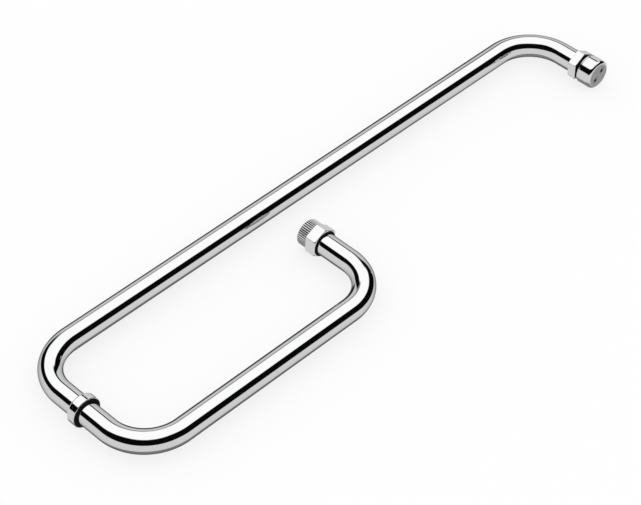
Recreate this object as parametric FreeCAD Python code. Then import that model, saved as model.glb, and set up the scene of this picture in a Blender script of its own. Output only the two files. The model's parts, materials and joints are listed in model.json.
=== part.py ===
import FreeCAD, Part
import math
import os
from FreeCAD import Vector

# Shower door hardware: a towel bar on one face of a glass door and a pull handle on the other.
# Both are bent tubes in one level plane, and they share the glass hole at the origin.
# Millimetres. X runs along the bars, Y is square to the glass with the towel bar at +Y, Z is up.
# The stack is closed up on the glass plane Y = 0, as it is sold, with no glass in it.

# Hole centres in the glass, from the shared hole
towel_centres = 457.2
pull_centres = 203.2

# Bent tube
tube_od = 15.875
tube_wall = 1.2
bend_radius = 31.75
towel_reach = 51.5
pull_reach = 54.0

# Round collars, which sleeve the two tube mouths at the shared hole
collar_od = 21.4
shared_collar_length = 3.4
shared_collar_round = 0.9
collar_chamfer = 0.25
collar_lip = 0.5

# Hexagonal collars at the other two ends, bevelled like nuts; a turn of 0 puts one flat on top
hex_sides = 6
hex_wall = 1.5875
hex_corner_round = 0.6
hex_bevel = 30.0
hex_bevel_cut = 0.7
hex_lip = 0.3
far_collar_length = 6.4
far_collar_turn = 30.0
free_collar_length = 8.4
free_collar_turn = 25.0

# Smooth cap at the towel bar's far end, turned by a two-pin spanner
cap_step = 0.45
cap_length = 12.0
cap_back_chamfer = 1.0
cap_front_chamfer = 1.4
cap_wall = 3.6
cap_line_inset = 1.8
cap_line_depth = 0.25
spanner_pitch = 8.0
spanner_hole = 2.6
spanner_depth = 2.4
spanner_turn = 41.0

# Knurled cap at the pull handle's free end, turned by hand
knurl_length = 8.2
knurl_count = 40
knurl_depth = 0.6
knurl_land = 0.45
flute_over = 0.3
knurl_chamfer = 0.6
knurl_wall = 2.8
spigot_clearance = 0.15

# End plugs, studs and the grub screw
plug_length = 14.0
stud_od = 8.0
stud_engagement = 11.0
stud_relief = 1.0
stud_chamfer = 0.8
groove_depth = 1.0
grub_od = 5.0
grub_setback = 7.5
grub_recess = 0.6
grub_socket = 2.5
grub_socket_depth = 2.0

# Soft rings: in the tube mouths, let into the collars' faces, and under the smooth cap
mouth_ring = 1.0
face_ring = 0.8
cap_ring = 1.6
cap_ring_inset = 1.9
ring_bore = 9.0

# Sizes that follow from the values above, directions, and the closeness that counts as one place
tube_id = tube_od - 2 * tube_wall
seal_od = collar_od - 2 * collar_lip
hex_flats = tube_od + 2 * hex_wall
hex_corners = hex_flats / math.cos(math.pi / hex_sides)
hex_seal_od = hex_flats - 2 * hex_lip
cap_od = hex_corners - 2 * cap_step
knurl_od = hex_flats
along_x = Vector(1, 0, 0)
along_y = Vector(0, 1, 0)
upward = Vector(0, 0, 1)
down = Vector(0, 0, -1)
towel_side = 1
pull_side = -1
same_place = 1e-4


def rod(x, y_from, y_to, diameter):
    """Solid cylinder on a glass hole's axis, between two places along Y."""
    start = min(y_from, y_to)
    return Part.makeCylinder(diameter / 2, abs(y_to - y_from), Vector(x, start, 0), along_y)


def ring(x, y_from, y_to, outer, inner):
    """Flat-ended ring on a glass hole's axis."""
    return rod(x, y_from, y_to, outer).cut(rod(x, y_from, y_to, inner))


def rim(shape, y, diameter):
    """The circular edges of one diameter at one place along Y."""
    found = []
    for edge in shape.Edges:
        curve = edge.Curve
        if isinstance(curve, Part.Circle):
            if abs(curve.Radius - diameter / 2) < same_place and abs(curve.Center.y - y) < same_place:
                found.append(edge)
    return found


def bent_tube(centres, reach, side):
    """Hollow C: two legs square to the glass and a bar between them, with a bend at each corner."""
    bar = side * reach
    leg = side * (reach - bend_radius)
    inset = bend_radius * (1 - math.cos(math.pi / 4))
    mouth = Vector(0, 0, 0)
    far_mouth = Vector(centres, 0, 0)
    corners = [
        (Vector(0, leg, 0), Vector(inset, bar - side * inset, 0), Vector(bend_radius, bar, 0)),
        (Vector(centres - bend_radius, bar, 0), Vector(centres - inset, bar - side * inset, 0),
         Vector(centres, leg, 0)),
    ]
    bends = [Part.Arc(*points).toShape() for points in corners]
    runs = [
        Part.makeLine(mouth, corners[0][0]),
        Part.makeLine(corners[0][2], corners[1][0]),
        Part.makeLine(corners[1][2], far_mouth),
    ]
    path = Part.Wire([runs[0], bends[0], runs[1], bends[1], runs[2]])
    skins = []
    for diameter in (tube_od, tube_id):
        circle = Part.makeCircle(diameter / 2, mouth, along_y)
        skins.append(path.makePipeShell([Part.Wire([circle])], True, True))
    return skins[0].cut(skins[1])


def end_plug(x, side, setback):
    """Plug fixed in a tube mouth, with a tapped hole right through."""
    face = side * setback
    back = side * (setback + plug_length)
    return ring(x, face, back, tube_id, stud_od)


def hexagon(centre, flats, top, turn):
    """Hexagon in the plane of X and the top direction, with a flat on top, turned towards -X."""
    reach = flats / 2 / math.cos(math.pi / hex_sides)
    points = []
    for corner in range(hex_sides + 1):
        angle = math.radians(turn + 360 / hex_sides * (corner + 0.5))
        points.append(centre + top * (reach * math.cos(angle)) - along_x * (reach * math.sin(angle)))
    return Part.Face(Part.makePolygon(points))


def hex_collar(x, y_from, y_to, turn):
    """Hexagonal collar over a tube mouth: edges rounded, its corners bevelled at both ends."""
    bar = hexagon(Vector(x, y_from, 0), hex_flats, upward, turn).extrude(along_y * (y_to - y_from))
    lengthwise = [edge for edge in bar.Edges if abs(edge.tangentAt(0).dot(along_y)) > 1 - same_place]
    bar = bar.makeFillet(hex_corner_round, lengthwise)
    wide = hex_corners / 2
    face = wide - hex_bevel_cut
    rise = hex_bevel_cut * math.tan(math.radians(hex_bevel))
    outline = Part.makePolygon([
        Vector(x, y_from, 0), Vector(x + face, y_from, 0), Vector(x + wide, y_from + rise, 0),
        Vector(x + wide, y_to - rise, 0), Vector(x + face, y_to, 0), Vector(x, y_to, 0),
        Vector(x, y_from, 0),
    ])
    blank = Part.Face(outline).revolve(Vector(x, 0, 0), along_y, 360)
    return bar.common(blank).cut(rod(x, y_from, y_to, tube_od))


def sealed_collar(collar, x, face, seal):
    """The collar with a recess in its face towards the handle that takes a soft ring flush."""
    return collar.cut(rod(x, face, face + face_ring, seal))


def stud(x, y_from, y_to):
    """Stud on a glass hole's axis, with both ends chamfered."""
    body = rod(x, y_from, y_to, stud_od)
    return body.makeChamfer(stud_chamfer, rim(body, y_from, stud_od) + rim(body, y_to, stud_od))


def vee_ring(x, y, diameter, depth):
    """Ring of square-cornered V section, which turns a groove of that depth in a round piece."""
    outer = diameter / 2
    profile = Part.makePolygon([
        Vector(x + outer - depth, y, 0), Vector(x + outer, y + depth, 0),
        Vector(x + outer, y - depth, 0), Vector(x + outer - depth, y, 0),
    ])
    return Part.Face(profile).revolve(Vector(x, 0, 0), along_y, 360)


def grub_axis(depth):
    """Point on the grub screw's axis, under the handle's leg, at one depth from the stud's axis."""
    return Vector(0, pull_side * grub_setback, -depth)


nodes = {}

# Tubes
nodes["towel_bar_tube"] = bent_tube(towel_centres, towel_reach, towel_side)
pull_tube = bent_tube(pull_centres, pull_reach, pull_side)
grub_hole = Part.makeCylinder(grub_od / 2, tube_od, grub_axis(0), down)
nodes["pull_handle_tube"] = pull_tube.cut(grub_hole)

# Shared hole: a collar on each side of the glass, one stud through both tubes
towel_collar = ring(0, 0, shared_collar_length, collar_od, tube_od)
nodes["shared_towel_collar"] = towel_collar.makeFillet(
    shared_collar_round, rim(towel_collar, shared_collar_length, collar_od))
pull_face = -shared_collar_length
pull_collar = ring(0, 0, pull_face, collar_od, tube_od)
pull_collar = pull_collar.makeChamfer(collar_chamfer, rim(pull_collar, pull_face, collar_od))
nodes["shared_pull_collar"] = sealed_collar(pull_collar, 0, pull_face, seal_od)
nodes["shared_seal"] = ring(0, pull_face, pull_face + face_ring, seal_od, tube_od)
nodes["shared_towel_ring"] = ring(0, 0, mouth_ring, tube_id, ring_bore)
nodes["shared_pull_ring"] = ring(0, 0, -mouth_ring, tube_id, ring_bore)
nodes["towel_shared_plug"] = end_plug(0, towel_side, mouth_ring)
nodes["pull_shared_plug"] = end_plug(0, pull_side, mouth_ring).cut(grub_hole)

# The shared stud is screwed into the towel bar; its plain end has a groove for the grub screw
stud_tip = -(mouth_ring + plug_length - stud_relief)
shared_stud = stud(0, stud_tip, mouth_ring + stud_engagement)
nodes["shared_stud"] = shared_stud.cut(vee_ring(0, pull_side * grub_setback, stud_od, groove_depth))

# Grub screw: a cone point in the stud's groove, a hexagon socket sunk below the tube's surface
grub_top = tube_od / 2 - grub_recess
grub_root = stud_od / 2 - groove_depth
grub_shank = stud_od / 2
point = Part.makeCone(0.0, grub_shank - grub_root, grub_shank - grub_root, grub_axis(grub_root), down)
shank = Part.makeCylinder(grub_od / 2, grub_top - grub_shank, grub_axis(grub_shank), down)
socket_floor = hexagon(grub_axis(grub_top - grub_socket_depth), grub_socket, along_y, 0)
socket = socket_floor.extrude(down * grub_socket_depth)
nodes["grub_screw"] = shank.fuse(point).cut(socket)

# Far end of the towel bar: hexagonal collar, soft rings, stud and spanner cap
collar_face = -face_ring
far_collar = hex_collar(towel_centres, collar_face, collar_face + far_collar_length, far_collar_turn)
nodes["far_collar"] = sealed_collar(far_collar, towel_centres, collar_face, hex_seal_od)
nodes["far_ring"] = ring(towel_centres, collar_face, 0, hex_seal_od, ring_bore)
nodes["towel_far_plug"] = end_plug(towel_centres, towel_side, 0)
cap_ring_od = cap_od - 2 * cap_ring_inset
cap_back = collar_face - cap_ring
nodes["far_cap_ring"] = ring(towel_centres, collar_face, cap_back, cap_ring_od, ring_bore)
cap_front = cap_back - cap_length
cap = rod(towel_centres, cap_back, cap_front, cap_od)
cap = cap.makeChamfer(cap_back_chamfer, rim(cap, cap_back, cap_od))
cap = cap.makeChamfer(cap_front_chamfer, rim(cap, cap_front, cap_od))
cap = cap.cut(vee_ring(towel_centres, cap_back - cap_line_inset, cap_od, cap_line_depth))
cap = cap.cut(rod(towel_centres, cap_back, cap_front + cap_wall, stud_od))
turn = math.radians(spanner_turn)
for end in (-1, 1):
    x = towel_centres + end * spanner_pitch / 2 * math.cos(turn)
    z = end * spanner_pitch / 2 * math.sin(turn)
    hole = Part.makeCylinder(spanner_hole / 2, spanner_depth, Vector(x, cap_front, z), along_y)
    cap = cap.cut(hole)
nodes["far_cap"] = cap
nodes["far_stud"] = stud(towel_centres, stud_engagement, cap_front + cap_wall + stud_relief)

# Free end of the pull handle: hexagonal collar, soft rings, stud and knurled cap
free_collar = hex_collar(pull_centres, 0, free_collar_length, free_collar_turn)
nodes["free_collar"] = sealed_collar(free_collar, pull_centres, 0, hex_seal_od)
nodes["free_tube_ring"] = ring(pull_centres, 0, -mouth_ring, tube_id, ring_bore)
nodes["free_collar_ring"] = ring(pull_centres, 0, face_ring, hex_seal_od, ring_bore)
nodes["pull_free_plug"] = end_plug(pull_centres, pull_side, mouth_ring)
knurl_end = free_collar_length + knurl_length
grip = rod(pull_centres, free_collar_length, knurl_end, knurl_od)
grip = grip.makeChamfer(knurl_chamfer, rim(grip, knurl_end, knurl_od))
flute_half = math.pi * knurl_od / knurl_count / 2 - knurl_land / 2
flute_slope = flute_half / knurl_depth
flute_root = knurl_od / 2 - knurl_depth
flute_top = knurl_od / 2 + flute_over
flute_reach = flute_slope * (knurl_depth + flute_over)
flute_profile = Part.makePolygon([
    Vector(pull_centres, free_collar_length, flute_root),
    Vector(pull_centres + flute_reach, free_collar_length, flute_top),
    Vector(pull_centres - flute_reach, free_collar_length, flute_top),
    Vector(pull_centres, free_collar_length, flute_root),
])
flute = Part.Face(flute_profile).extrude(along_y * knurl_length)
flutes = []
for index in range(knurl_count):
    cutter = flute.copy()
    cutter.rotate(Vector(pull_centres, 0, 0), along_y, 360 * index / knurl_count)
    flutes.append(cutter)
grip = grip.cut(Part.makeCompound(flutes))
spigot = rod(pull_centres, face_ring, free_collar_length, tube_od - 2 * spigot_clearance)
knurled_cap = grip.fuse(spigot)
knurl_bore_end = knurl_end - knurl_wall
nodes["knurled_cap"] = knurled_cap.cut(rod(pull_centres, face_ring, knurl_bore_end, stud_od))
free_stud_root = -(mouth_ring + stud_engagement)
nodes["free_stud"] = stud(pull_centres, free_stud_root, knurl_bore_end - stud_relief)

os.makedirs("parts", exist_ok=True)
for name, shape in nodes.items():
    shape.exportStep("parts/" + name + ".step")
    print(name, len(shape.Solids), "solid", round(shape.Volume / 1000, 3), "cm3")
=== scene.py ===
# %% [markdown]
# # A towel bar and a pull handle for a glass shower door
#
# The real object is two bent chrome tubes, back to back on a glass door, that share one hole in
# the glass. The solids come in already placed, in metres. This lesson gives each polished piece a
# surface fine enough to mirror a room, because a mirror shows every flat facet, and then builds
# the plain studio that the chrome has to reflect.

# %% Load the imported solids
import json
import bmesh
import bpy
import numpy as np
from mathutils import Matrix, Vector


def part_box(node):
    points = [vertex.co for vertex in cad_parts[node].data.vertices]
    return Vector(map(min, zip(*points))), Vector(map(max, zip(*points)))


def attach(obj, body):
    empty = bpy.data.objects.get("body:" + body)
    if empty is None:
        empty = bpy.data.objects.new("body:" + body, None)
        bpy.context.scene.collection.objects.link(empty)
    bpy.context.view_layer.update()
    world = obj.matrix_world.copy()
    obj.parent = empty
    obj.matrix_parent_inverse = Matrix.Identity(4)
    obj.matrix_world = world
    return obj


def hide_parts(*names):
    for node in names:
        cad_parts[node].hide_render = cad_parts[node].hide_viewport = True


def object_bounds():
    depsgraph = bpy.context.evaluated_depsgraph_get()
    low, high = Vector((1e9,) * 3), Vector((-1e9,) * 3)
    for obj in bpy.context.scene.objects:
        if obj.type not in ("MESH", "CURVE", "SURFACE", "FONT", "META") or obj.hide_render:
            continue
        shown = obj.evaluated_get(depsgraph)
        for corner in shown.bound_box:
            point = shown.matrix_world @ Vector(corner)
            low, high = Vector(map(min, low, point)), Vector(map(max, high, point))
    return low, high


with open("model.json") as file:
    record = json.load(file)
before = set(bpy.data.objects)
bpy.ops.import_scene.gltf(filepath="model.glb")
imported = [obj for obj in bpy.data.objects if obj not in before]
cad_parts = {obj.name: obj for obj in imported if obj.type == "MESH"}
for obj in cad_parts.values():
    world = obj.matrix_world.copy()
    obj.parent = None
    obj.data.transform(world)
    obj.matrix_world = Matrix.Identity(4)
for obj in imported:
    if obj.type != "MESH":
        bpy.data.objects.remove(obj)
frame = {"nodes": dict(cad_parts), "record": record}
cad_low, cad_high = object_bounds()
nodes = frame["nodes"]
MM = 0.001
print("solids loaded:", len(nodes))
print("solids' box in mm:", [round(side / MM, 1) for side in cad_high - cad_low])

# %% [markdown]
# ## Sizes
#
# A size could be typed in again here, but then two files could disagree. Each solid already
# knows its box, so the tube's radius, the bars' reach and the hole spacings are read from those
# boxes. Only what a box can't tell, such as the radius of a bend, is written as a number.

# %% Read the sizes from the solids


def node_box(name):
    """Lowest and highest corner of one solid, as two arrays in metres."""
    low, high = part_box(name)
    return np.array(low), np.array(high)


towel_low, towel_high = node_box("towel_bar_tube")
pull_low, pull_high = node_box("pull_handle_tube")
tube_radius = (towel_high[2] - towel_low[2]) / 2
tube_wall = 1.2 * MM
bend_radius = 31.75 * MM
towel_centres = towel_high[0] - tube_radius
towel_reach = towel_high[1] - tube_radius
pull_centres = pull_high[0] - tube_radius
pull_reach = -pull_low[1] - tube_radius
print("tube radius, mm:", round(tube_radius / MM, 3))
print("hole spacings, mm:", round(towel_centres / MM, 2), round(pull_centres / MM, 2))

# %% [markdown]
# ## The camera
#
# The photograph looks down on the bars from the pull handle's side. The camera stands where the
# outlines of both tubes fall on the photograph's outlines: a turn about the upright axis, a height
# above the horizon, a slight lean, and a distance that gives the same convergence. A long lens is
# used rather than a shift, so that other views stay centred.

# %% Place the camera
view_azimuth = np.radians(-43.651)
view_elevation = np.radians(43.982)
view_lean = np.radians(-1.089)
view_distance = 1423.7 * MM
view_aim = Vector((195.52 * MM, -3.83 * MM, 0.0))
lens_length, sensor_width, clip_far = 124.32, 36.0, 200.0


def look_axes(azimuth, elevation, lean):
    """Right, up and backward axes: turn about Z, rise above the horizon, then lean about the view."""
    back = Vector((np.sin(azimuth) * np.cos(elevation),
                   -np.cos(azimuth) * np.cos(elevation),
                   np.sin(elevation)))
    level = Vector((np.cos(azimuth), np.sin(azimuth), 0.0))
    rise = back.cross(level)
    right = level * np.cos(lean) + rise * np.sin(lean)
    up = rise * np.cos(lean) - level * np.sin(lean)
    return right, up, back


def put_in_scene(name, data):
    """A new object in the scene that carries a mesh or a camera."""
    made = bpy.data.objects.new(name, data)
    bpy.context.scene.collection.objects.link(made)
    return made


camera_data = bpy.data.cameras.new("camera")
camera_data.lens = lens_length
camera_data.sensor_width = sensor_width
camera_data.clip_end = clip_far
camera = put_in_scene("camera", camera_data)
right, up, back = look_axes(view_azimuth, view_elevation, view_lean)
turn = Matrix((right, up, back)).transposed()
camera.matrix_world = Matrix.Translation(view_aim + back * view_distance) @ turn.to_4x4()
bpy.context.scene.camera = camera
print("camera at", [round(value, 3) for value in camera.location])

# %% [markdown]
# ## Turning a grid of points into a mesh
#
# Every polished piece below is a function of two parameters: how far along, and how far round.
# Worked out for all pairs at once, that is a grid of points, and a mesh only needs to know that
# each square of the grid is a face. Where a direction comes back to its start, the last row joins
# the first, so no seam is left. The enclosed volume tells whether the faces point outwards.

# %% Number the faces of a grid


def full_turn(count):
    """Evenly spaced angles right round; the last stops one step short of the first."""
    return np.linspace(0, 2 * np.pi, count, endpoint=False)


def grid_faces(rows, columns, close_rows, close_columns):
    """Corner numbers of every square of a grid, wrapped round where a direction closes."""
    row = np.arange(rows if close_rows else rows - 1)[:, None]
    column = np.arange(columns if close_columns else columns - 1)[None, :]
    next_row = (row + 1) % rows
    next_column = (column + 1) % columns
    corners = [row * columns + column, row * columns + next_column,
               next_row * columns + next_column, next_row * columns + column]
    return np.stack(corners, axis=-1).reshape(-1, 4)


def enclosed_volume(points, faces):
    """Six times the volume: each face with the origin makes a small pyramid, and they add up."""
    a, b, c, d = (points[faces[:, corner]] for corner in range(4))
    return (np.cross(b - a, c - a) * a).sum() + (np.cross(c - a, d - a) * a).sum()


print("faces of a closed grid, three by four:", len(grid_faces(3, 4, True, True)))

# %% Make a piece from a grid
sharp_angle = 32.0
seam_gap = 0.0001 * MM


def weld(mesh, distance):
    """Joins points closer than a distance, so no seam, sliver or stray face is left."""
    work = bmesh.new()
    work.from_mesh(mesh)
    bmesh.ops.remove_doubles(work, verts=work.verts, dist=distance)
    bmesh.ops.dissolve_degenerate(work, edges=work.edges, dist=distance)
    work.to_mesh(mesh)
    work.free()


def shade(mesh, sharp_degrees):
    """Shades a mesh as one curved surface, broken only where faces meet at a sharper angle."""
    mesh.shade_smooth()
    mesh.set_sharp_from_angle(angle=np.radians(sharp_degrees))


def keep_flats(piece):
    """Weights each corner's normal by face area: flats stay flat in the mirror, edges are round."""
    piece.modifiers.new("flat_faces", "WEIGHTED_NORMAL").keep_sharp = True


def grid_piece(name, grid, close_rows=True, sharp_degrees=sharp_angle, values=None, flats=False):
    """A smooth closed mesh from rows of points; the columns always go right round.

    Values, where given, stay with the points as the depth of a groove.
    """
    rows, columns = grid.shape[:2]
    points = grid.reshape(-1, 3)
    faces = grid_faces(rows, columns, close_rows, True)
    if enclosed_volume(points, faces) < 0:
        faces = faces[:, ::-1]
    mesh = bpy.data.meshes.new(name)
    mesh.from_pydata(points, [], faces.tolist())
    if values is not None:
        field = mesh.attributes.new("groove", "FLOAT", "POINT")
        field.data.foreach_set("value", values.astype(np.float32).ravel())
    weld(mesh, seam_gap)
    shade(mesh, sharp_degrees)
    piece = put_in_scene(name, mesh)
    if flats:
        keep_flats(piece)
    print(name, "has", len(mesh.polygons), "faces")
    return piece


def stands_for(piece, node):
    """The piece takes the place of one solid, which is hidden, and is attached to the root body."""
    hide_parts(node)
    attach(piece, "root")
    return piece


# %% [markdown]
# ## The bent tubes
#
# A bender pulls a straight tube round a former, so the centreline is a leg, a quarter turn, a bar,
# a quarter turn and a leg, with no kinks. A curve with a bevel could draw it, but then the mouths
# would be bare. Here the distance along the tube gives the angle turned so far, and sines and
# cosines of that angle give the place and heading in one formula. A circle is carried along it on
# the outside and back along the inside, so the tube is hollow with a rounded lip at each mouth.

# %% Work out the centreline
leg_steps, bend_steps, bar_steps = 8, 72, 60


def tube_lengths(centres, reach):
    """Lengths of one leg, of one quarter turn and of the straight bar."""
    return reach - bend_radius, bend_radius * np.pi / 2, centres - 2 * bend_radius


def centreline(s, centres, reach, side):
    """Place and heading after a distance s.

    The two bends have turned by a1 and a2 so far. Along X: one bend's advance, the bar, and the
    other bend's advance. Along Y: the leg and the first bend going out, the rest coming back.
    """
    leg, quarter, run = tube_lengths(centres, reach)
    a1 = np.clip((s - leg) / bend_radius, 0, np.pi / 2)
    a2 = np.clip((s - leg - quarter - run) / bend_radius, 0, np.pi / 2)
    x = bend_radius * (1 - np.cos(a1)) + np.clip(s - leg - quarter, 0, run) + bend_radius * np.sin(a2)
    out = np.clip(s, 0, leg) + bend_radius * np.sin(a1)
    home = bend_radius * (1 - np.cos(a2)) + np.clip(s - leg - 2 * quarter - run, 0, leg)
    place = np.stack([x, side * (out - home), np.zeros_like(s)], axis=-1)
    heading = np.stack([np.sin(a1 + a2), side * np.cos(a1 + a2), np.zeros_like(s)], axis=-1)
    return place, heading


def stations(centres, reach):
    """Distances along the tube: close together round the bends, wide apart on the straights."""
    leg, quarter, run = tube_lengths(centres, reach)
    marks = np.cumsum([0, leg, quarter, run, quarter, leg])
    steps = (leg_steps, bend_steps, bar_steps, bend_steps, leg_steps)
    spans = [np.linspace(start, end, count, endpoint=False)
             for start, end, count in zip(marks, marks[1:], steps)]
    return np.append(np.concatenate(spans), marks[-1])


for centres, reach in ((towel_centres, towel_reach), (pull_centres, pull_reach)):
    print("straight tube to cut, mm:", round(stations(centres, reach)[-1] / MM, 1))

# %% Build both tubes
lip_round = 0.25 * MM
tube_sides = 160
around_tube = full_turn(tube_sides)


def bent_tube(name, centres, reach, side):
    """Hollow tube: radius cos t across and sin t up, outside going out and inside coming home.

    At each mouth the outer edge is rounded through the middle of a quarter circle.
    """
    s = stations(centres, reach)
    inner = tube_radius - tube_wall
    lip = lip_round * (1 - np.sqrt(0.5))
    outside = s.copy()
    outside[0] += lip_round
    outside[-1] -= lip_round
    end = s[-1]
    far_lip = [end - lip, end, end]
    near_lip = [0.0, 0.0, lip]
    lip_radius = [tube_radius - lip, tube_radius - lip_round, inner]
    along = np.concatenate([outside, far_lip, s[::-1][1:-1], near_lip])
    radius = np.concatenate([np.full(len(s), tube_radius), lip_radius,
                             np.full(len(s) - 2, inner), lip_radius[::-1]])
    place, heading = centreline(along, centres, reach, side)
    across = np.stack([-heading[:, 1], heading[:, 0], np.zeros(len(along))], axis=-1)
    upright = np.array([0.0, 0.0, 1.0])
    section = (np.cos(around_tube)[None, :, None] * across[:, None, :]
               + np.sin(around_tube)[None, :, None] * upright)
    return grid_piece(name, place[:, None, :] + radius[:, None, None] * section)


towel_tube = bent_tube("towel_bar", towel_centres, towel_reach, 1)
stands_for(towel_tube, "towel_bar_tube")
pull_tube = bent_tube("pull_handle", pull_centres, pull_reach, -1)
stands_for(pull_tube, "pull_handle_tube")

# %% [markdown]
# ## Turned rings and caps
#
# The collars and caps are turned on a lathe, so each is one outline spun about the hole's axis.
# No turned edge is perfectly sharp: a fine radius is left on every corner, and in chrome that
# radius is what draws the thin bright line along an edge. A bevel modifier could round a plain
# cylinder, with one width for all its edges. Here the outline is given as corners, each with its
# own radius, and every corner becomes a short arc.

# %% Round and spin an outline
corner_steps = 6
side_share = 0.45
lathe_sides = 192
around_lathe = full_turn(lathe_sides)


def rounded_outline(corners, radii):
    """Each corner becomes an arc that touches both its sides, by sliding along a quadratic curve.

    The curve starts one radius before the corner, ends one radius after it and leans on the
    corner in between, so it is tangent to both sides. Short sides give up less than half their
    length. The corners may differ from angle to angle, as they do round a hexagon.
    """
    to_last = np.roll(corners, 1, axis=0) - corners
    to_next = np.roll(corners, -1, axis=0) - corners
    last_length = np.linalg.norm(to_last, axis=-1, keepdims=True)
    next_length = np.linalg.norm(to_next, axis=-1, keepdims=True)
    radius = np.asarray(radii, dtype=float)[:, None, None]
    before = corners + np.minimum(radius / last_length, side_share) * to_last
    after = corners + np.minimum(radius / next_length, side_share) * to_next
    t = np.linspace(0, 1, corner_steps)[None, :, None, None]
    curve = ((1 - t) ** 2 * before[:, None] + 2 * t * (1 - t) * corners[:, None]
             + t ** 2 * after[:, None])
    return curve.reshape(-1, corners.shape[1], 2)


def turned_piece(name, corners, radii, x, around=around_lathe):
    """Spins an outline of radius and depth about an axis along Y: x plus r cos t, y, r sin t."""
    sides = np.stack([np.stack(np.broadcast_arrays(radius, depth, around), axis=-1)[..., :2]
                      for radius, depth in corners])
    outline = rounded_outline(sides, radii)
    radius, depth = outline[..., 0], outline[..., 1]
    grid = np.stack([x + radius * np.cos(around), depth, radius * np.sin(around)], axis=-1)
    return grid_piece(name, grid, flats=True)


def half_height(node):
    """Radius of a round solid, from the height of its box."""
    low, high = node_box(node)
    return (high[2] - low[2]) / 2


print("sides of a turned piece:", lathe_sides)

# %% [markdown]
# ## The round collars
#
# At the shared hole each tube's mouth has a short round sleeve, and the two meet face to face and
# read as one ring. The face towards the pull handle shows a bright edge round a black ring, so the
# chrome has a shallow recess there that a soft dark ring fills. The recess could be cut out of a
# plain sleeve; in a spun outline it is only two more corners.

# %% Build the round collars
edge_round = 0.12 * MM
collar_chamfer = 0.25 * MM
seal_depth = 0.8 * MM
shared_round = 0.9 * MM
mating_break = 0.03 * MM
rear_share = 0.55


def sleeve_mouth(y0, seal):
    """Inner corners of a sleeve at its front: the bore, the recess floor and the recess mouth."""
    return [(tube_radius, y0 + seal_depth), (seal, y0 + seal_depth), (seal, y0)]


def round_collar(name, node, mouth, front, rear):
    """Sleeve outline: rear break, back face, front corners, then the front break of the edge."""
    (x0, y0, _), (x1, y1, _) = node_box(node)
    outer = half_height(node)
    corners = [(outer, y1 - rear), (outer - rear, y1), (tube_radius, y1)]
    corners += mouth or [(tube_radius, y0)]
    corners += [(outer - front, y0), (outer, y0 + front)]
    radii = np.full(len(corners), edge_round)
    radii[:2] = max(edge_round, rear_share * rear)
    piece = turned_piece(name, corners, radii, (x0 + x1) / 2)
    return stands_for(piece, node)


shared_face = node_box("shared_pull_collar")[0][1]
shared_mouth = sleeve_mouth(shared_face, half_height("shared_seal"))
collars = [
    round_collar("shared_collar_towel", "shared_towel_collar", None, mating_break, shared_round),
    round_collar("shared_collar_pull", "shared_pull_collar", shared_mouth,
                 collar_chamfer, mating_break),
]

# %% [markdown]
# ## The hexagonal collars
#
# The collars at the other two ends have flats for a spanner: in the photograph one flat is pure
# white and the next plain grey, with only a thin dark line between, where a round sleeve would
# show a broad black band. Such a collar is hexagonal bar with its ends bevelled on the lathe. Its
# front edge also has a small chamfer along the flats, which mirrors the dark part of the room and
# draws the straight black edge. A cylinder with six sides could be bevelled by a modifier; here
# the hexagon's radius is a function of the angle, and each bevel starts from a circle, so the
# curved edge that a lathe leaves on a nut comes out by itself.

# %% Work out the hexagon
hex_sides = 6
half_flats = 19.05 * MM / 2
hex_corner_round = 0.6 * MM
half_sector = np.pi / hex_sides
corner_arm = (half_flats - hex_corner_round) / np.cos(half_sector)
flat_ends = half_sector - np.arctan(corner_arm * np.sin(half_sector) / half_flats)
flat_points, corner_points = 8, 16


def hexagon_angles(turn):
    """Angles right round, close together over each rounded corner, and each one's corner offset."""
    offset = np.concatenate([np.linspace(-half_sector, -flat_ends, flat_points, endpoint=False),
                             np.linspace(-flat_ends, flat_ends, corner_points, endpoint=False),
                             np.linspace(flat_ends, half_sector, flat_points, endpoint=False)])
    corner = np.pi / 2 + turn + half_sector * (2 * np.arange(hex_sides) + 1)
    return (corner[:, None] + offset).ravel(), np.tile(offset, hex_sides)


def hexagon_radius(offset):
    """Distance to the outline, by the angle from the nearest corner.

    On a flat it is half the width over the cosine of the angle from the flat's middle. At a corner
    it is where the line meets the corner's small circle.
    """
    flat = half_flats / np.cos(half_sector - np.abs(offset))
    inside = np.sqrt(np.maximum(hex_corner_round ** 2 - (corner_arm * np.sin(offset)) ** 2, 0))
    return np.where(np.abs(offset) < flat_ends, corner_arm * np.cos(offset) + inside, flat)


print("across the rounded corners, mm:", round(2 * (corner_arm + hex_corner_round) / MM, 2))

# %% Build the hexagonal collars
hex_bevel_cut = 0.7 * MM
hex_bevel_slope = np.tan(np.radians(30.0))
hex_edge_break = 0.05 * MM
hex_front_chamfer = 0.25 * MM
hex_front_slope = 1.4
free_turn, far_turn = np.radians(25.0), np.radians(30.0)


def hex_collar(name, node, seal_node, x, turn):
    """Bore, sealed front, chamfer out to the hexagon, flats, and bevel back in at the rear.

    The rear bevel only cuts the corners, down to one circle; along the flats the edge is just
    broken. The front chamfer is steeper, follows the flats all the way round and leaves a thin
    land round the soft ring.
    """
    low, high = node_box(node)
    y0, y1 = low[1], high[1]
    around, offset = hexagon_angles(turn)
    outer = hexagon_radius(offset)
    circle = half_flats / np.cos(half_sector) - hex_bevel_cut
    face = np.minimum(circle, outer - hex_edge_break)
    front = np.minimum(circle, outer - hex_front_chamfer)
    corners = [(outer, y1 - (outer - face) * hex_bevel_slope), (face, y1), (tube_radius, y1)]
    corners += sleeve_mouth(y0, half_height(seal_node))
    corners += [(front, y0), (outer, y0 + (outer - front) * hex_front_slope)]
    piece = turned_piece(name, corners, np.full(len(corners), edge_round), x, around)
    return stands_for(piece, node)


collars.append(hex_collar("free_hexagon", "free_collar", "free_collar_ring", pull_centres, free_turn))
collars.append(hex_collar("far_hexagon", "far_collar", "far_ring", towel_centres, far_turn))
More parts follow.
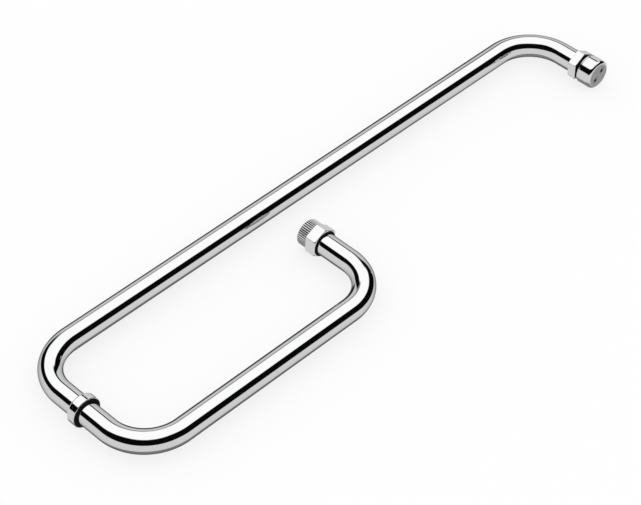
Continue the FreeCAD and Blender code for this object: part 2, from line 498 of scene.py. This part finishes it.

# %% [markdown]
# ## The knurled cap
#
# The cap behind the free collar is tightened by hand, so a straight knurl is rolled into its rim.
# The knurl could be modelled one ridge at a time; here the radius itself dips as the angle goes
# round, as many times as there are ridges. A blunt V dips from a flat land to the groove's root
# and back. How deep each point lies is kept with the mesh, so the finish can paint shade into the
# roots.

# %% Work out the knurl
knurl_ridges = 40
knurl_depth = 0.6 * MM
knurl_land = 0.28
knurl_ease = 0.35
samples_per_ridge = 24


def knurl_dip(angle):
    """How far down the V an angle lies: 0 on a land, 1 at a root, with the corners eased.

    The ramp down the V is mixed with its eased form, three times its square less twice its cube.
    """
    phase = np.abs((angle * knurl_ridges / (2 * np.pi)) % 1.0 - 0.5) * 2
    ramp = np.clip((1 - phase - knurl_land) / (1 - knurl_land), 0, 1)
    return ramp * ramp * (3 - 2 * ramp) * knurl_ease + ramp * (1 - knurl_ease)


around_knurl = full_turn(knurl_ridges * samples_per_ridge)
print("share of the rim that is land:", round((knurl_dip(around_knurl) == 0).mean(), 2))

# %% Build the knurled cap
stud_radius = 4.0 * MM
spigot_play = 0.15 * MM
grip_chamfer = 0.6 * MM
grip_floor = 2.8 * MM
grip_step = 0.16 * MM
grip_row_count = 30
grip_sharp_angle = 38.0


def knurled_cap():
    """Closed outline: up the stud's bore, out over the spigot, along the grip and in to the axis.

    The knurl is cut from the grip's first edge to its chamfer: the radius there is the outline's
    less the dip at that angle.
    """
    low, high = node_box("knurled_cap")
    grip = half_height("knurled_cap")
    y0, y1 = node_box("free_collar")[1][1], high[1]
    spigot, floor = tube_radius - spigot_play, y1 - grip_floor
    grip_rows = np.linspace(y0 + grip_step, y1 - grip_chamfer - grip_step, grip_row_count)
    inside = [(stud_radius, floor), (stud_radius, low[1]), (spigot, low[1]), (spigot, y0),
              (grip - knurl_depth, y0), (grip, y0)]
    rim = [(grip, y) for y in grip_rows]
    end = [(grip, y1 - grip_chamfer), (grip - grip_chamfer, y1), (grip / 2, y1),
           (0.0, y1), (0.0, floor)]
    outline = np.array(inside + rim + end)
    shown = np.zeros(len(outline))
    shown[len(inside) - 1:len(inside) + len(rim) + 1] = 1.0
    dip = shown[:, None] * knurl_dip(around_knurl)[None, :]
    radius = outline[:, 0, None] - knurl_depth * dip
    grid = np.stack(np.broadcast_arrays(
        pull_centres + radius * np.cos(around_knurl), outline[:, 1, None],
        radius * np.sin(around_knurl)), axis=-1)
    piece = grid_piece("knurled_grip", grid, sharp_degrees=grip_sharp_angle, values=dip, flats=True)
    return stands_for(piece, "knurled_cap")


knurled = knurled_cap()

# %% [markdown]
# ## The smooth cap
#
# The cap at the far end is plain, with a chamfer at each edge, the front one well rounded, a fine
# line turned beside the rear one, and two blind holes in its face for a pin spanner. The outline
# is turned as before. Holes off the axis can't come from a lathe, so they are drilled: a cutter
# the size of the drill is taken away from the turned piece.

# %% Turn the smooth cap
cap_wall = 3.6 * MM
rear_chamfer, front_chamfer, front_round = 1.0 * MM, 1.4 * MM, 0.9 * MM
line_place, line_depth = 1.8 * MM, 0.25 * MM


def smooth_cap():
    """Outline from the stud's bore out over the back, down the side and in over the front face.

    Each corner is a radius, a depth and the round that is left on it.
    """
    low, high = node_box("far_cap")
    outer = half_height("far_cap")
    y0, y1 = low[1], high[1]
    line = y1 - line_place
    outline = [
        (0.0, y0 + cap_wall, 0.0),
        (stud_radius, y0 + cap_wall, edge_round),
        (stud_radius, y1, edge_round),
        (outer - rear_chamfer, y1, edge_round),
        (outer, y1 - rear_chamfer, edge_round),
        (outer, line + line_depth, edge_round),
        (outer - line_depth, line, 0.0),
        (outer, line - line_depth, edge_round),
        (outer, y0 + front_chamfer, front_round),
        (outer - front_chamfer, y0, front_round),
        (0.0, y0, 0.0),
    ]
    corners = [(radius, depth) for radius, depth, _ in outline]
    return turned_piece("smooth_cap", corners, [edge for _, _, edge in outline], towel_centres), y0


cap, cap_face = smooth_cap()

# %% Drill the smooth cap
drill_sides = 48
drill_point = 0.4
drill_lead = 0.5 * MM
sliver = 0.002 * MM
spanner_half, spanner_radius, spanner_depth = 4.0 * MM, 1.3 * MM, 2.4 * MM
spanner_angle = np.radians(41.0)


def drill(piece, tip, direction, radius, depth):
    """Takes a drill-shaped cutter away from a piece: a cylinder with a cone point, in mesh only."""
    direction = Vector(direction).normalized()
    t = full_turn(drill_sides)
    radii = np.array([0.0, radius, radius, 0.0])[:, None]
    depths = np.array([depth + drill_point * radius, depth, -drill_lead, -drill_lead])[:, None]
    rows = np.stack(np.broadcast_arrays(radii * np.cos(t), radii * np.sin(t), depths), axis=-1)
    turn = np.array(direction.to_track_quat("Z", "Y").to_matrix())
    cutter = grid_piece("cutter", rows @ turn.T + np.array(tip), close_rows=False)
    step = piece.modifiers.new("drill", "BOOLEAN")
    step.object = cutter
    step.operation = "DIFFERENCE"
    step.solver = "EXACT"
    shaped = bpy.data.meshes.new_from_object(piece.evaluated_get(bpy.context.evaluated_depsgraph_get()))
    piece.modifiers.clear()
    piece.data = shaped
    shaped.name = piece.name
    bpy.data.objects.remove(cutter)
    weld(shaped, sliver)
    shade(shaped, sharp_angle)


spanner_holes = [(towel_centres + end * spanner_half * np.cos(spanner_angle), cap_face,
                  end * spanner_half * np.sin(spanner_angle)) for end in (-1, 1)]
for hole in spanner_holes:
    drill(cap, hole, (0, 1, 0), spanner_radius, spanner_depth)
keep_flats(cap)
stands_for(cap, "far_cap")
print("cap after drilling:", len(cap.data.polygons), "faces")

# %% [markdown]
# ## The grub screw's hole
#
# Under the pull handle's leg, out of sight from above, a grub screw locks the leg on the shared
# stud. The tube needs the screw's hole, drilled the same way; the screw's own solid sits in it.

# %% Drill the grub screw's hole
grub_low, grub_high = node_box("grub_screw")
grub_radius = (grub_high[0] - grub_low[0]) / 2
grub_y = (grub_low[1] + grub_high[1]) / 2
drill(pull_tube, (0.0, grub_y, -tube_radius), (0, 0, 1), grub_radius, 2 * tube_wall)
print("grub screw hole at y, mm:", round(grub_y / MM, 2))

# %% [markdown]
# ## Finishes that several metals share
#
# Polished metal is never evenly smooth: the buffing wheel leaves fine hairs, and hands leave a
# faint film. A picture of scratches could be laid over each piece, but it would show seams. One
# node group makes both from the object's own coordinates instead, so every chrome piece can take
# it at its own strength. The group gives out only what varies: a roughness and a height.

# %% Node helpers


def new_group(name, inputs, outputs):
    """An empty shader group with named number inputs and outputs."""
    group = bpy.data.node_groups.new(name, "ShaderNodeTree")
    for socket, value in inputs.items():
        made = group.interface.new_socket(socket, in_out="INPUT", socket_type="NodeSocketFloat")
        made.default_value = value
    for socket in outputs:
        group.interface.new_socket(socket, in_out="OUTPUT", socket_type="NodeSocketFloat")
    return group, group.nodes.new("NodeGroupInput"), group.nodes.new("NodeGroupOutput")


def add(tree, kind, **settings):
    """A new node with some of its settings or input values filled in."""
    node = tree.nodes.new(kind)
    for key, value in settings.items():
        if key in node.inputs:
            node.inputs[key].default_value = value
        else:
            setattr(node, key, value)
    return node


def ramp_value(tree, source, ends=(0.0, 1.0), values=(0.0, 1.0), easing="SMOOTHSTEP"):
    """The first value below the first end, the second above the second end, a slope in between."""
    step = add(tree, "ShaderNodeMapRange", interpolation_type=easing,
               **{"From Min": ends[0], "From Max": ends[1], "To Min": values[0], "To Max": values[1]})
    tree.links.new(source, step.inputs["Value"])
    return step.outputs["Result"]


def times_plus(tree, *sources):
    """The first value times the second, plus the third."""
    node = add(tree, "ShaderNodeMath", operation="MULTIPLY_ADD")
    for source, socket in zip(sources, node.inputs):
        tree.links.new(source, socket)
    return node.outputs["Value"]


# %% Build the shared wear group
hair_squeeze = (900.0, 2600.0, 2600.0)
film_scale, film_edges = 55.0, (0.45, 0.75)


def buffed_group():
    """Hairs: noise squeezed along one axis. Film: broad soft noise. Both lift the roughness."""
    group, given, result = new_group(
        "buffed_metal", {"Base": 0.03, "Hairs": 0.02, "Film": 0.02}, ["Roughness", "Height"])
    link = group.links.new
    place = add(group, "ShaderNodeTexCoord").outputs["Object"]
    squeeze = add(group, "ShaderNodeMapping", Scale=hair_squeeze)
    link(place, squeeze.inputs["Vector"])
    hairs = add(group, "ShaderNodeTexNoise", Scale=1.0, Detail=3.0, Roughness=0.6)
    link(squeeze.outputs["Vector"], hairs.inputs["Vector"])
    film = add(group, "ShaderNodeTexNoise", Scale=film_scale, Detail=4.0, Roughness=0.55)
    link(place, film.inputs["Vector"])
    patches = ramp_value(group, film.outputs["Fac"], film_edges)
    haired = times_plus(group, hairs.outputs["Fac"], given.outputs["Hairs"], given.outputs["Base"])
    link(times_plus(group, patches, given.outputs["Film"], haired), result.inputs["Roughness"])
    link(hairs.outputs["Fac"], result.inputs["Height"])
    return group


buffed = buffed_group()
print("shared group:", buffed.name, "with", len(buffed.nodes), "nodes")

# %% [markdown]
# ## Chrome
#
# Chrome plate is a mirror with a cool, slightly dark tint. A plain glossy shader would mirror
# alike at every angle. The Principled shader's specular tint sets how a metal dims at a glancing
# angle; on the tubes it is set far darker than real chrome, so it paints a dark line of shade along
# each outline. The plate's colour drifts very slightly, so it is mixed from two greys by slow
# noise. Rolling leaves the knurl duller, and its roots get painted shade, a darker colour mixed in
# by the groove's depth. In the photograph the two bars leave no image in each other, so both tubes
# are hidden from mirror rays.

# %% Material helpers


def base_material(name, **values):
    """A material with one Principled shader set to these values, its tree, and the shader."""
    material = bpy.data.materials.new(name)
    material.use_nodes = True
    tree = material.node_tree
    tree.nodes.clear()
    shader = add(tree, "ShaderNodeBsdfPrincipled", **values)
    out = tree.nodes.new("ShaderNodeOutputMaterial")
    tree.links.new(shader.outputs["BSDF"], out.inputs["Surface"])
    return material, tree, shader


def two_tone(tree, first, second, scale):
    """Colour that drifts between two tones by slow noise over the object's own coordinates."""
    place = add(tree, "ShaderNodeTexCoord")
    noise = add(tree, "ShaderNodeTexNoise", Scale=scale, Detail=3.0)
    tree.links.new(place.outputs["Object"], noise.inputs["Vector"])
    mix = add(tree, "ShaderNodeMix", data_type="RGBA", A=(*first, 1.0), B=(*second, 1.0))
    tree.links.new(noise.outputs["Fac"], mix.inputs["Factor"])
    return mix.outputs["Result"]


def add_bump(tree, shader, height, strength, distance):
    """Lets a height that varies over the surface tilt the shader's normal."""
    bump = add(tree, "ShaderNodeBump", Strength=strength, Distance=distance)
    tree.links.new(height, bump.inputs["Height"])
    tree.links.new(bump.outputs["Normal"], shader.inputs["Normal"])


def give_finish(piece, finish):
    """Puts one finish on a whole piece, in place of what it had."""
    piece.data.materials.clear()
    piece.data.materials.append(finish)


# %% Make the chrome
plate_tones = (0.86, 0.86, 0.865), (0.82, 0.825, 0.835)
rolled_tones = (0.86, 0.86, 0.865), (0.80, 0.80, 0.81)
plate_drift = 20.0
# The tubes' specular tint is far below real chrome's: it paints a dark line of shade along each
# outline.
outline_shade_tint = (0.28, 0.28, 0.285, 1.0)
collar_edge = (0.90, 0.90, 0.91, 1.0)
# The knurl's roots are painted with shade: this dark tone is mixed in by the groove's depth.
root_shade_tone, root_shade_range = (0.10, 0.10, 0.105, 1.0), (0.0, 0.7)
polished = {"Base": 0.025, "Hairs": 0.012, "Film": 0.015}
rolled = {"Base": 0.36, "Hairs": 0.06, "Film": 0.04}
hair_bump = 0.02, 0.02 * MM


def chrome_material(name, wear, edge, tones=plate_tones, grooved=False):
    """Two greys, the buffed group for roughness and a hair-fine bump; painted shade in the roots if
    grooved.
    """
    material, tree, shader = base_material(name, **{"Metallic": 1.0, "Specular Tint": edge})
    link = tree.links.new
    colour = two_tone(tree, *tones, plate_drift)
    if grooved:
        depth = add(tree, "ShaderNodeAttribute", attribute_name="groove")
        roots = add(tree, "ShaderNodeMix", data_type="RGBA", B=root_shade_tone)
        link(ramp_value(tree, depth.outputs["Fac"], root_shade_range), roots.inputs["Factor"])
        link(colour, roots.inputs["A"])
        colour = roots.outputs["Result"]
    link(colour, shader.inputs["Base Color"])
    buffing = add(tree, "ShaderNodeGroup", node_tree=buffed, **wear)
    link(buffing.outputs["Roughness"], shader.inputs["Roughness"])
    add_bump(tree, shader, buffing.outputs["Height"], *hair_bump)
    return material


chrome_tube = chrome_material("chrome_tube", polished, outline_shade_tint)
chrome_turned = chrome_material("chrome_turned", polished, collar_edge)
chrome_knurled = chrome_material("chrome_knurled", rolled, collar_edge, rolled_tones, grooved=True)
dressed = [(cap, chrome_turned), (knurled, chrome_knurled)]
dressed += [(tube, chrome_tube) for tube in (towel_tube, pull_tube)]
dressed += [(collar, chrome_turned) for collar in collars]
for piece, finish in dressed:
    give_finish(piece, finish)
    piece.visible_glossy = finish != chrome_tube
print("chrome on", len(dressed), "pieces")

# %% [markdown]
# ## The cap's face and holes
#
# A lathe faces the cap's front with fine circles, so the plate there is satin and mirrors only a
# blur of the room. The holes get a near-black colour, which is painted shade for the dark inside
# each hole. Face and holes could be pieces of their own, with gaps to hide. As they are one turned
# piece, each face of the mesh is told by its place and its normal which finish it has.

# %% Give the cap's face and holes their finishes
satin_tones = (0.44, 0.44, 0.445), (0.36, 0.36, 0.37)
# The holes' near-black tones are painted shade for the dark inside each spanner hole.
hole_shade_tones = (0.030, 0.030, 0.032), (0.018, 0.018, 0.020)
faced = {"Base": 0.30, "Hairs": 0.06, "Film": 0.04}
drilled = {"Base": 0.55, "Hairs": 0.10, "Film": 0.05}
faced_index, drilled_index = 1, 2
facing_front, hole_margin = -0.99, 1.02
cap.data.materials.append(chrome_material("chrome_faced", faced, collar_edge, satin_tones))
cap.data.materials.append(chrome_material("hole_painted_shade", drilled, outline_shade_tint, hole_shade_tones))


def finish_cap(mesh):
    """Polish, but for the front, which is square to the axis, and what lies sunk near a hole's axis."""
    count = len(mesh.polygons)
    centre, normal = np.empty(3 * count), np.empty(3 * count)
    mesh.polygons.foreach_get("center", centre)
    mesh.polygons.foreach_get("normal", normal)
    centre, normal = centre.reshape(-1, 3), normal.reshape(-1, 3)
    sunk = centre[:, 1] - cap_face
    index = np.zeros(count, dtype=np.int32)
    index[(normal[:, 1] < facing_front) & (sunk < edge_round)] = faced_index
    for hole in spanner_holes:
        apart = np.hypot(centre[:, 0] - hole[0], centre[:, 2] - hole[2])
        index[(apart < spanner_radius * hole_margin) & (sunk > edge_round / 2)
              & (sunk < 2 * spanner_depth)] = drilled_index
    mesh.polygons.foreach_set("material_index", index)
    return np.bincount(index)


print("cap faces polished, satin and dark:", finish_cap(cap.data))

# %% [markdown]
# ## Brass, stainless steel and soft rings
#
# The plugs are brass bar, the studs and the grub screw are stainless steel, and the rings are dark
# soft plastic. Turned metal shows rings left by the tool, which a wave across the axis gives; the
# soft rings are matt, with a little mottle. New surfaces could be made for them too, but the
# solids already have these shapes, so they stay and only take a finish. The brass and the steel
# lie inside the fittings, so they are hidden from mirror rays as well.

# %% Make the turned metals and the soft rings
tool_rough, tool_wander, tool_bump = 0.12, 0.4, (0.15, 0.05 * MM)
mottle_rough, mottle_scale, mottle_bump = (0.50, 0.66), 900.0, (0.2, 0.04 * MM)
bar_drift, ring_drift, ring_shine = 60.0, 150.0, 0.06


def worked_surface(tree, shader, colour, pattern, rough, bump):
    """A drifting colour, and a pattern that spreads the roughness and lifts the surface a little."""
    link = tree.links.new
    link(colour, shader.inputs["Base Color"])
    link(add(tree, "ShaderNodeTexCoord").outputs["Object"], pattern.inputs["Vector"])
    spread = ramp_value(tree, pattern.outputs["Fac"], values=rough, easing="LINEAR")
    link(spread, shader.inputs["Roughness"])
    add_bump(tree, shader, pattern.outputs["Fac"], *bump)


def turned_metal(name, first, second, pitch, rough):
    """Two tones by noise, and tool rings by a wave along the axis that drives roughness and bump."""
    material, tree, shader = base_material(name, Metallic=1.0)
    rings = add(tree, "ShaderNodeTexWave", bands_direction="Y", Scale=1.0 / pitch,
                Distortion=tool_wander)
    worked_surface(tree, shader, two_tone(tree, first, second, bar_drift), rings,
                   (rough, rough + tool_rough), tool_bump)
    return material


def soft_plastic(name, first, second):
    """Two close tones, a fine mottle in the roughness and a slight bump."""
    material, tree, shader = base_material(name, **{"Specular IOR Level": ring_shine})
    mottle = add(tree, "ShaderNodeTexNoise", Scale=mottle_scale, Detail=2.0)
    worked_surface(tree, shader, two_tone(tree, first, second, ring_drift), mottle,
                   mottle_rough, mottle_bump)
    return material


finishes = {
    "brass": turned_metal(
        "brass_turned", (0.72, 0.55, 0.27), (0.64, 0.47, 0.22), pitch=0.4 * MM, rough=0.22),
    "stainless": turned_metal(
        "stainless_turned", (0.60, 0.60, 0.59), (0.52, 0.52, 0.52), pitch=0.5 * MM, rough=0.25),
    "soft_ring": soft_plastic("soft_ring_dark", (0.003, 0.003, 0.0035), (0.006, 0.006, 0.0065)),
}
for entry in frame["record"]["subparts"]:
    slot = entry["material_slot"]
    if slot in finishes:
        give_finish(nodes[entry["node"]], finishes[slot])
        nodes[entry["node"]].visible_glossy = slot == "soft_ring"
print("other finishes:", sorted(finishes))

# %% [markdown]
# ## The floor
#
# The photograph's ground is plain white. A backdrop that only glows would be white too, but the
# object would float. A pale floor keeps the soft shadow that tells where the object lies, and it
# glows a little to the camera's own rays, which lights nothing, so that it reaches white. It is
# hidden from mirror rays, because the studio below says what they see.

# %% Lay the floor
floor_level = cad_low[2]
floor_reach = 40.0
floor_glow = 0.74
floor_tones, floor_drift = ((0.250,) * 3, (0.258,) * 3), 2.0
white = (1.0, 1.0, 1.0, 1.0)


def plain_floor():
    """A square at the object's lowest point, pale and matt, with a barely visible drift of tone.

    What the floor sends back of the even light, and its glow to the camera, add up to white.
    """
    side = np.array([-floor_reach, floor_reach])
    rows = np.stack(np.broadcast_arrays(side[:, None], side[None, :], floor_level), axis=-1)
    mesh = bpy.data.meshes.new("floor")
    mesh.from_pydata(rows.reshape(-1, 3), [], grid_faces(2, 2, False, False).tolist())
    material, tree, shader = base_material(
        "floor_pale", **{"Roughness": 1.0, "Specular IOR Level": 0.0, "Emission Color": white})
    tree.links.new(two_tone(tree, *floor_tones, floor_drift), shader.inputs["Base Color"])
    rays = add(tree, "ShaderNodeLightPath")
    glow = add(tree, "ShaderNodeMath", operation="MULTIPLY")
    tree.links.new(rays.outputs["Is Camera Ray"], glow.inputs[0])
    glow.inputs[1].default_value = floor_glow
    tree.links.new(glow.outputs["Value"], shader.inputs["Emission Strength"])
    mesh.materials.append(material)
    made = put_in_scene("floor", mesh)
    made.visible_glossy = False


plain_floor()
print("floor at z, mm:", round(floor_level / MM, 2))

# %% [markdown]
# ## The studio that the chrome mirrors
#
# Chrome has no look of its own: it shows the room. The photograph's tubes are white above, black
# along the middle and pale grey below, all the way round the bends, which is what a photographer
# gets from a white tent, a pale table and a band of black cloth between them. The cloth sags lower
# on the right, and behind the object it is gathered into a narrow grey seam. Two dark cards lie on
# the table there, which draw the dark lines along the far edges of the bars and the legs. A ring of
# cards could stand round the floor; here the world's colour follows the direction that a mirror ray
# takes, and every other ray finds plain even light. Each edge of the cloth is given by a side of
# the room, how far round from there its slope begins and ends, and the two heights it runs between.

# %% Place the tent, the cloth and the cards


def side_of_room(azimuth, elevation=0.0):
    """Direction towards one side of the room: degrees from +X towards +Y, and degrees upwards."""
    level = np.cos(np.radians(elevation))
    return (level * np.cos(np.radians(azimuth)), level * np.sin(np.radians(azimuth)),
            np.sin(np.radians(elevation)))


def cosines(*degrees):
    """How far along an axis the directions at these angles from it go."""
    return np.cos(np.radians(degrees))


def heights(*degrees):
    """How far up the directions at these elevations go."""
    return np.sin(np.radians(degrees))


top_side, top_turn, top_height = side_of_room(47.0), (-0.75, 0.862), heights(58.0, 28.0)
hem_side, hem_turn, hem_height = side_of_room(20.0), (-0.4, 0.95), heights(11.0, -8.0)
top_blur, hem_blur = (-0.01, 0.05), (-0.05, 0.01)
seam_turn, seam_height, seam_deep = cosines(32.0, 5.0), heights(27.0, 37.0), 0.09
gather_turn = cosines(44.0, 12.0)
fade_side, fade_turn = side_of_room(57.0), cosines(13.0, 5.0)
bar_card = side_of_room(58.0, -14.0), cosines(21.0, 14.0)
leg_card = side_of_room(39.0, -34.0), cosines(16.0, 8.0)
underneath = heights(-57.0, -47.0)
under_tone, table_tone, card_tone, tent_tone = 0.24, 0.72, 0.10, 1.15
cloth_tone, seam_tone = 0.002, 0.26
even_light = 1.0
print("studio: table, cloth and tent tones", table_tone, cloth_tone, tent_tone)

# %% Light the room


def mix_values(tree, factor, first, second):
    """First where the factor is 0, second where it is 1; either may be a number or a socket."""
    mix = add(tree, "ShaderNodeMix", data_type="FLOAT")
    tree.links.new(factor, mix.inputs["Factor"])
    for name, value in (("A", first), ("B", second)):
        if isinstance(value, float):
            mix.inputs[name].default_value = value
        else:
            tree.links.new(value, mix.inputs[name])
    return mix.outputs["Result"]


def part_along(tree, direction, axis):
    """How far a direction goes along an axis, from -1 to 1."""
    measure = add(tree, "ShaderNodeVectorMath", operation="DOT_PRODUCT")
    tree.links.new(direction, measure.inputs[0])
    measure.inputs[1].default_value = axis
    return measure.outputs["Value"]


def above_edge(tree, height, edge, blur):
    """0 below an edge of varying height, 1 above it, eased over the blur."""
    over = add(tree, "ShaderNodeMath", operation="SUBTRACT")
    tree.links.new(height, over.inputs[0])
    tree.links.new(edge, over.inputs[1])
    return ramp_value(tree, over.outputs["Value"], blur)


def studio_world():
    """Table, cloth and tent by height; the cloth's edges follow the side and close in to the seam."""
    world = bpy.data.worlds.new("studio")
    world.use_nodes = True
    tree = world.node_tree
    link = tree.links.new
    direction = add(tree, "ShaderNodeTexCoord").outputs["Generated"]
    height = part_along(tree, direction, (0.0, 0.0, 1.0))
    flat = add(tree, "ShaderNodeVectorMath", operation="MULTIPLY")
    flat.inputs[1].default_value = (1.0, 1.0, 0.0)
    link(direction, flat.inputs[0])
    level = add(tree, "ShaderNodeVectorMath", operation="NORMALIZE")
    link(flat.outputs["Vector"], level.inputs[0])
    towards_top, towards_hem, towards_fade = (
        part_along(tree, level.outputs["Vector"], side) for side in (top_side, hem_side, fade_side))
    seam_top = ramp_value(tree, towards_top, seam_turn, seam_height)
    seam_foot = ramp_value(tree, towards_top, seam_turn, seam_height - seam_deep)
    gathered = ramp_value(tree, towards_top, gather_turn)
    hem = mix_values(tree, gathered, ramp_value(tree, towards_hem, hem_turn, hem_height), seam_foot)
    top = mix_values(tree, gathered, ramp_value(tree, towards_top, top_turn, top_height), seam_top)
    dark = mix_values(tree, ramp_value(tree, towards_fade, fade_turn), cloth_tone, seam_tone)
    table = mix_values(tree, ramp_value(tree, height, underneath), under_tone, table_tone)
    for place, spread in (bar_card, leg_card):
        on_card = ramp_value(tree, part_along(tree, direction, place), spread)
        table = mix_values(tree, on_card, table, card_tone)
    band = mix_values(tree, above_edge(tree, height, hem, hem_blur), table, dark)
    room = mix_values(tree, above_edge(tree, height, top, top_blur), band, tent_tone)
    rays = add(tree, "ShaderNodeLightPath")
    strength = mix_values(tree, rays.outputs["Is Glossy Ray"], even_light, room)
    link(strength, tree.nodes["Background"].inputs["Strength"])
    tree.nodes["Background"].inputs["Color"].default_value = white
    return world


bpy.context.scene.world = studio_world()
bpy.context.scene.view_settings.view_transform = "Standard"
print("world:", bpy.context.scene.world.name)
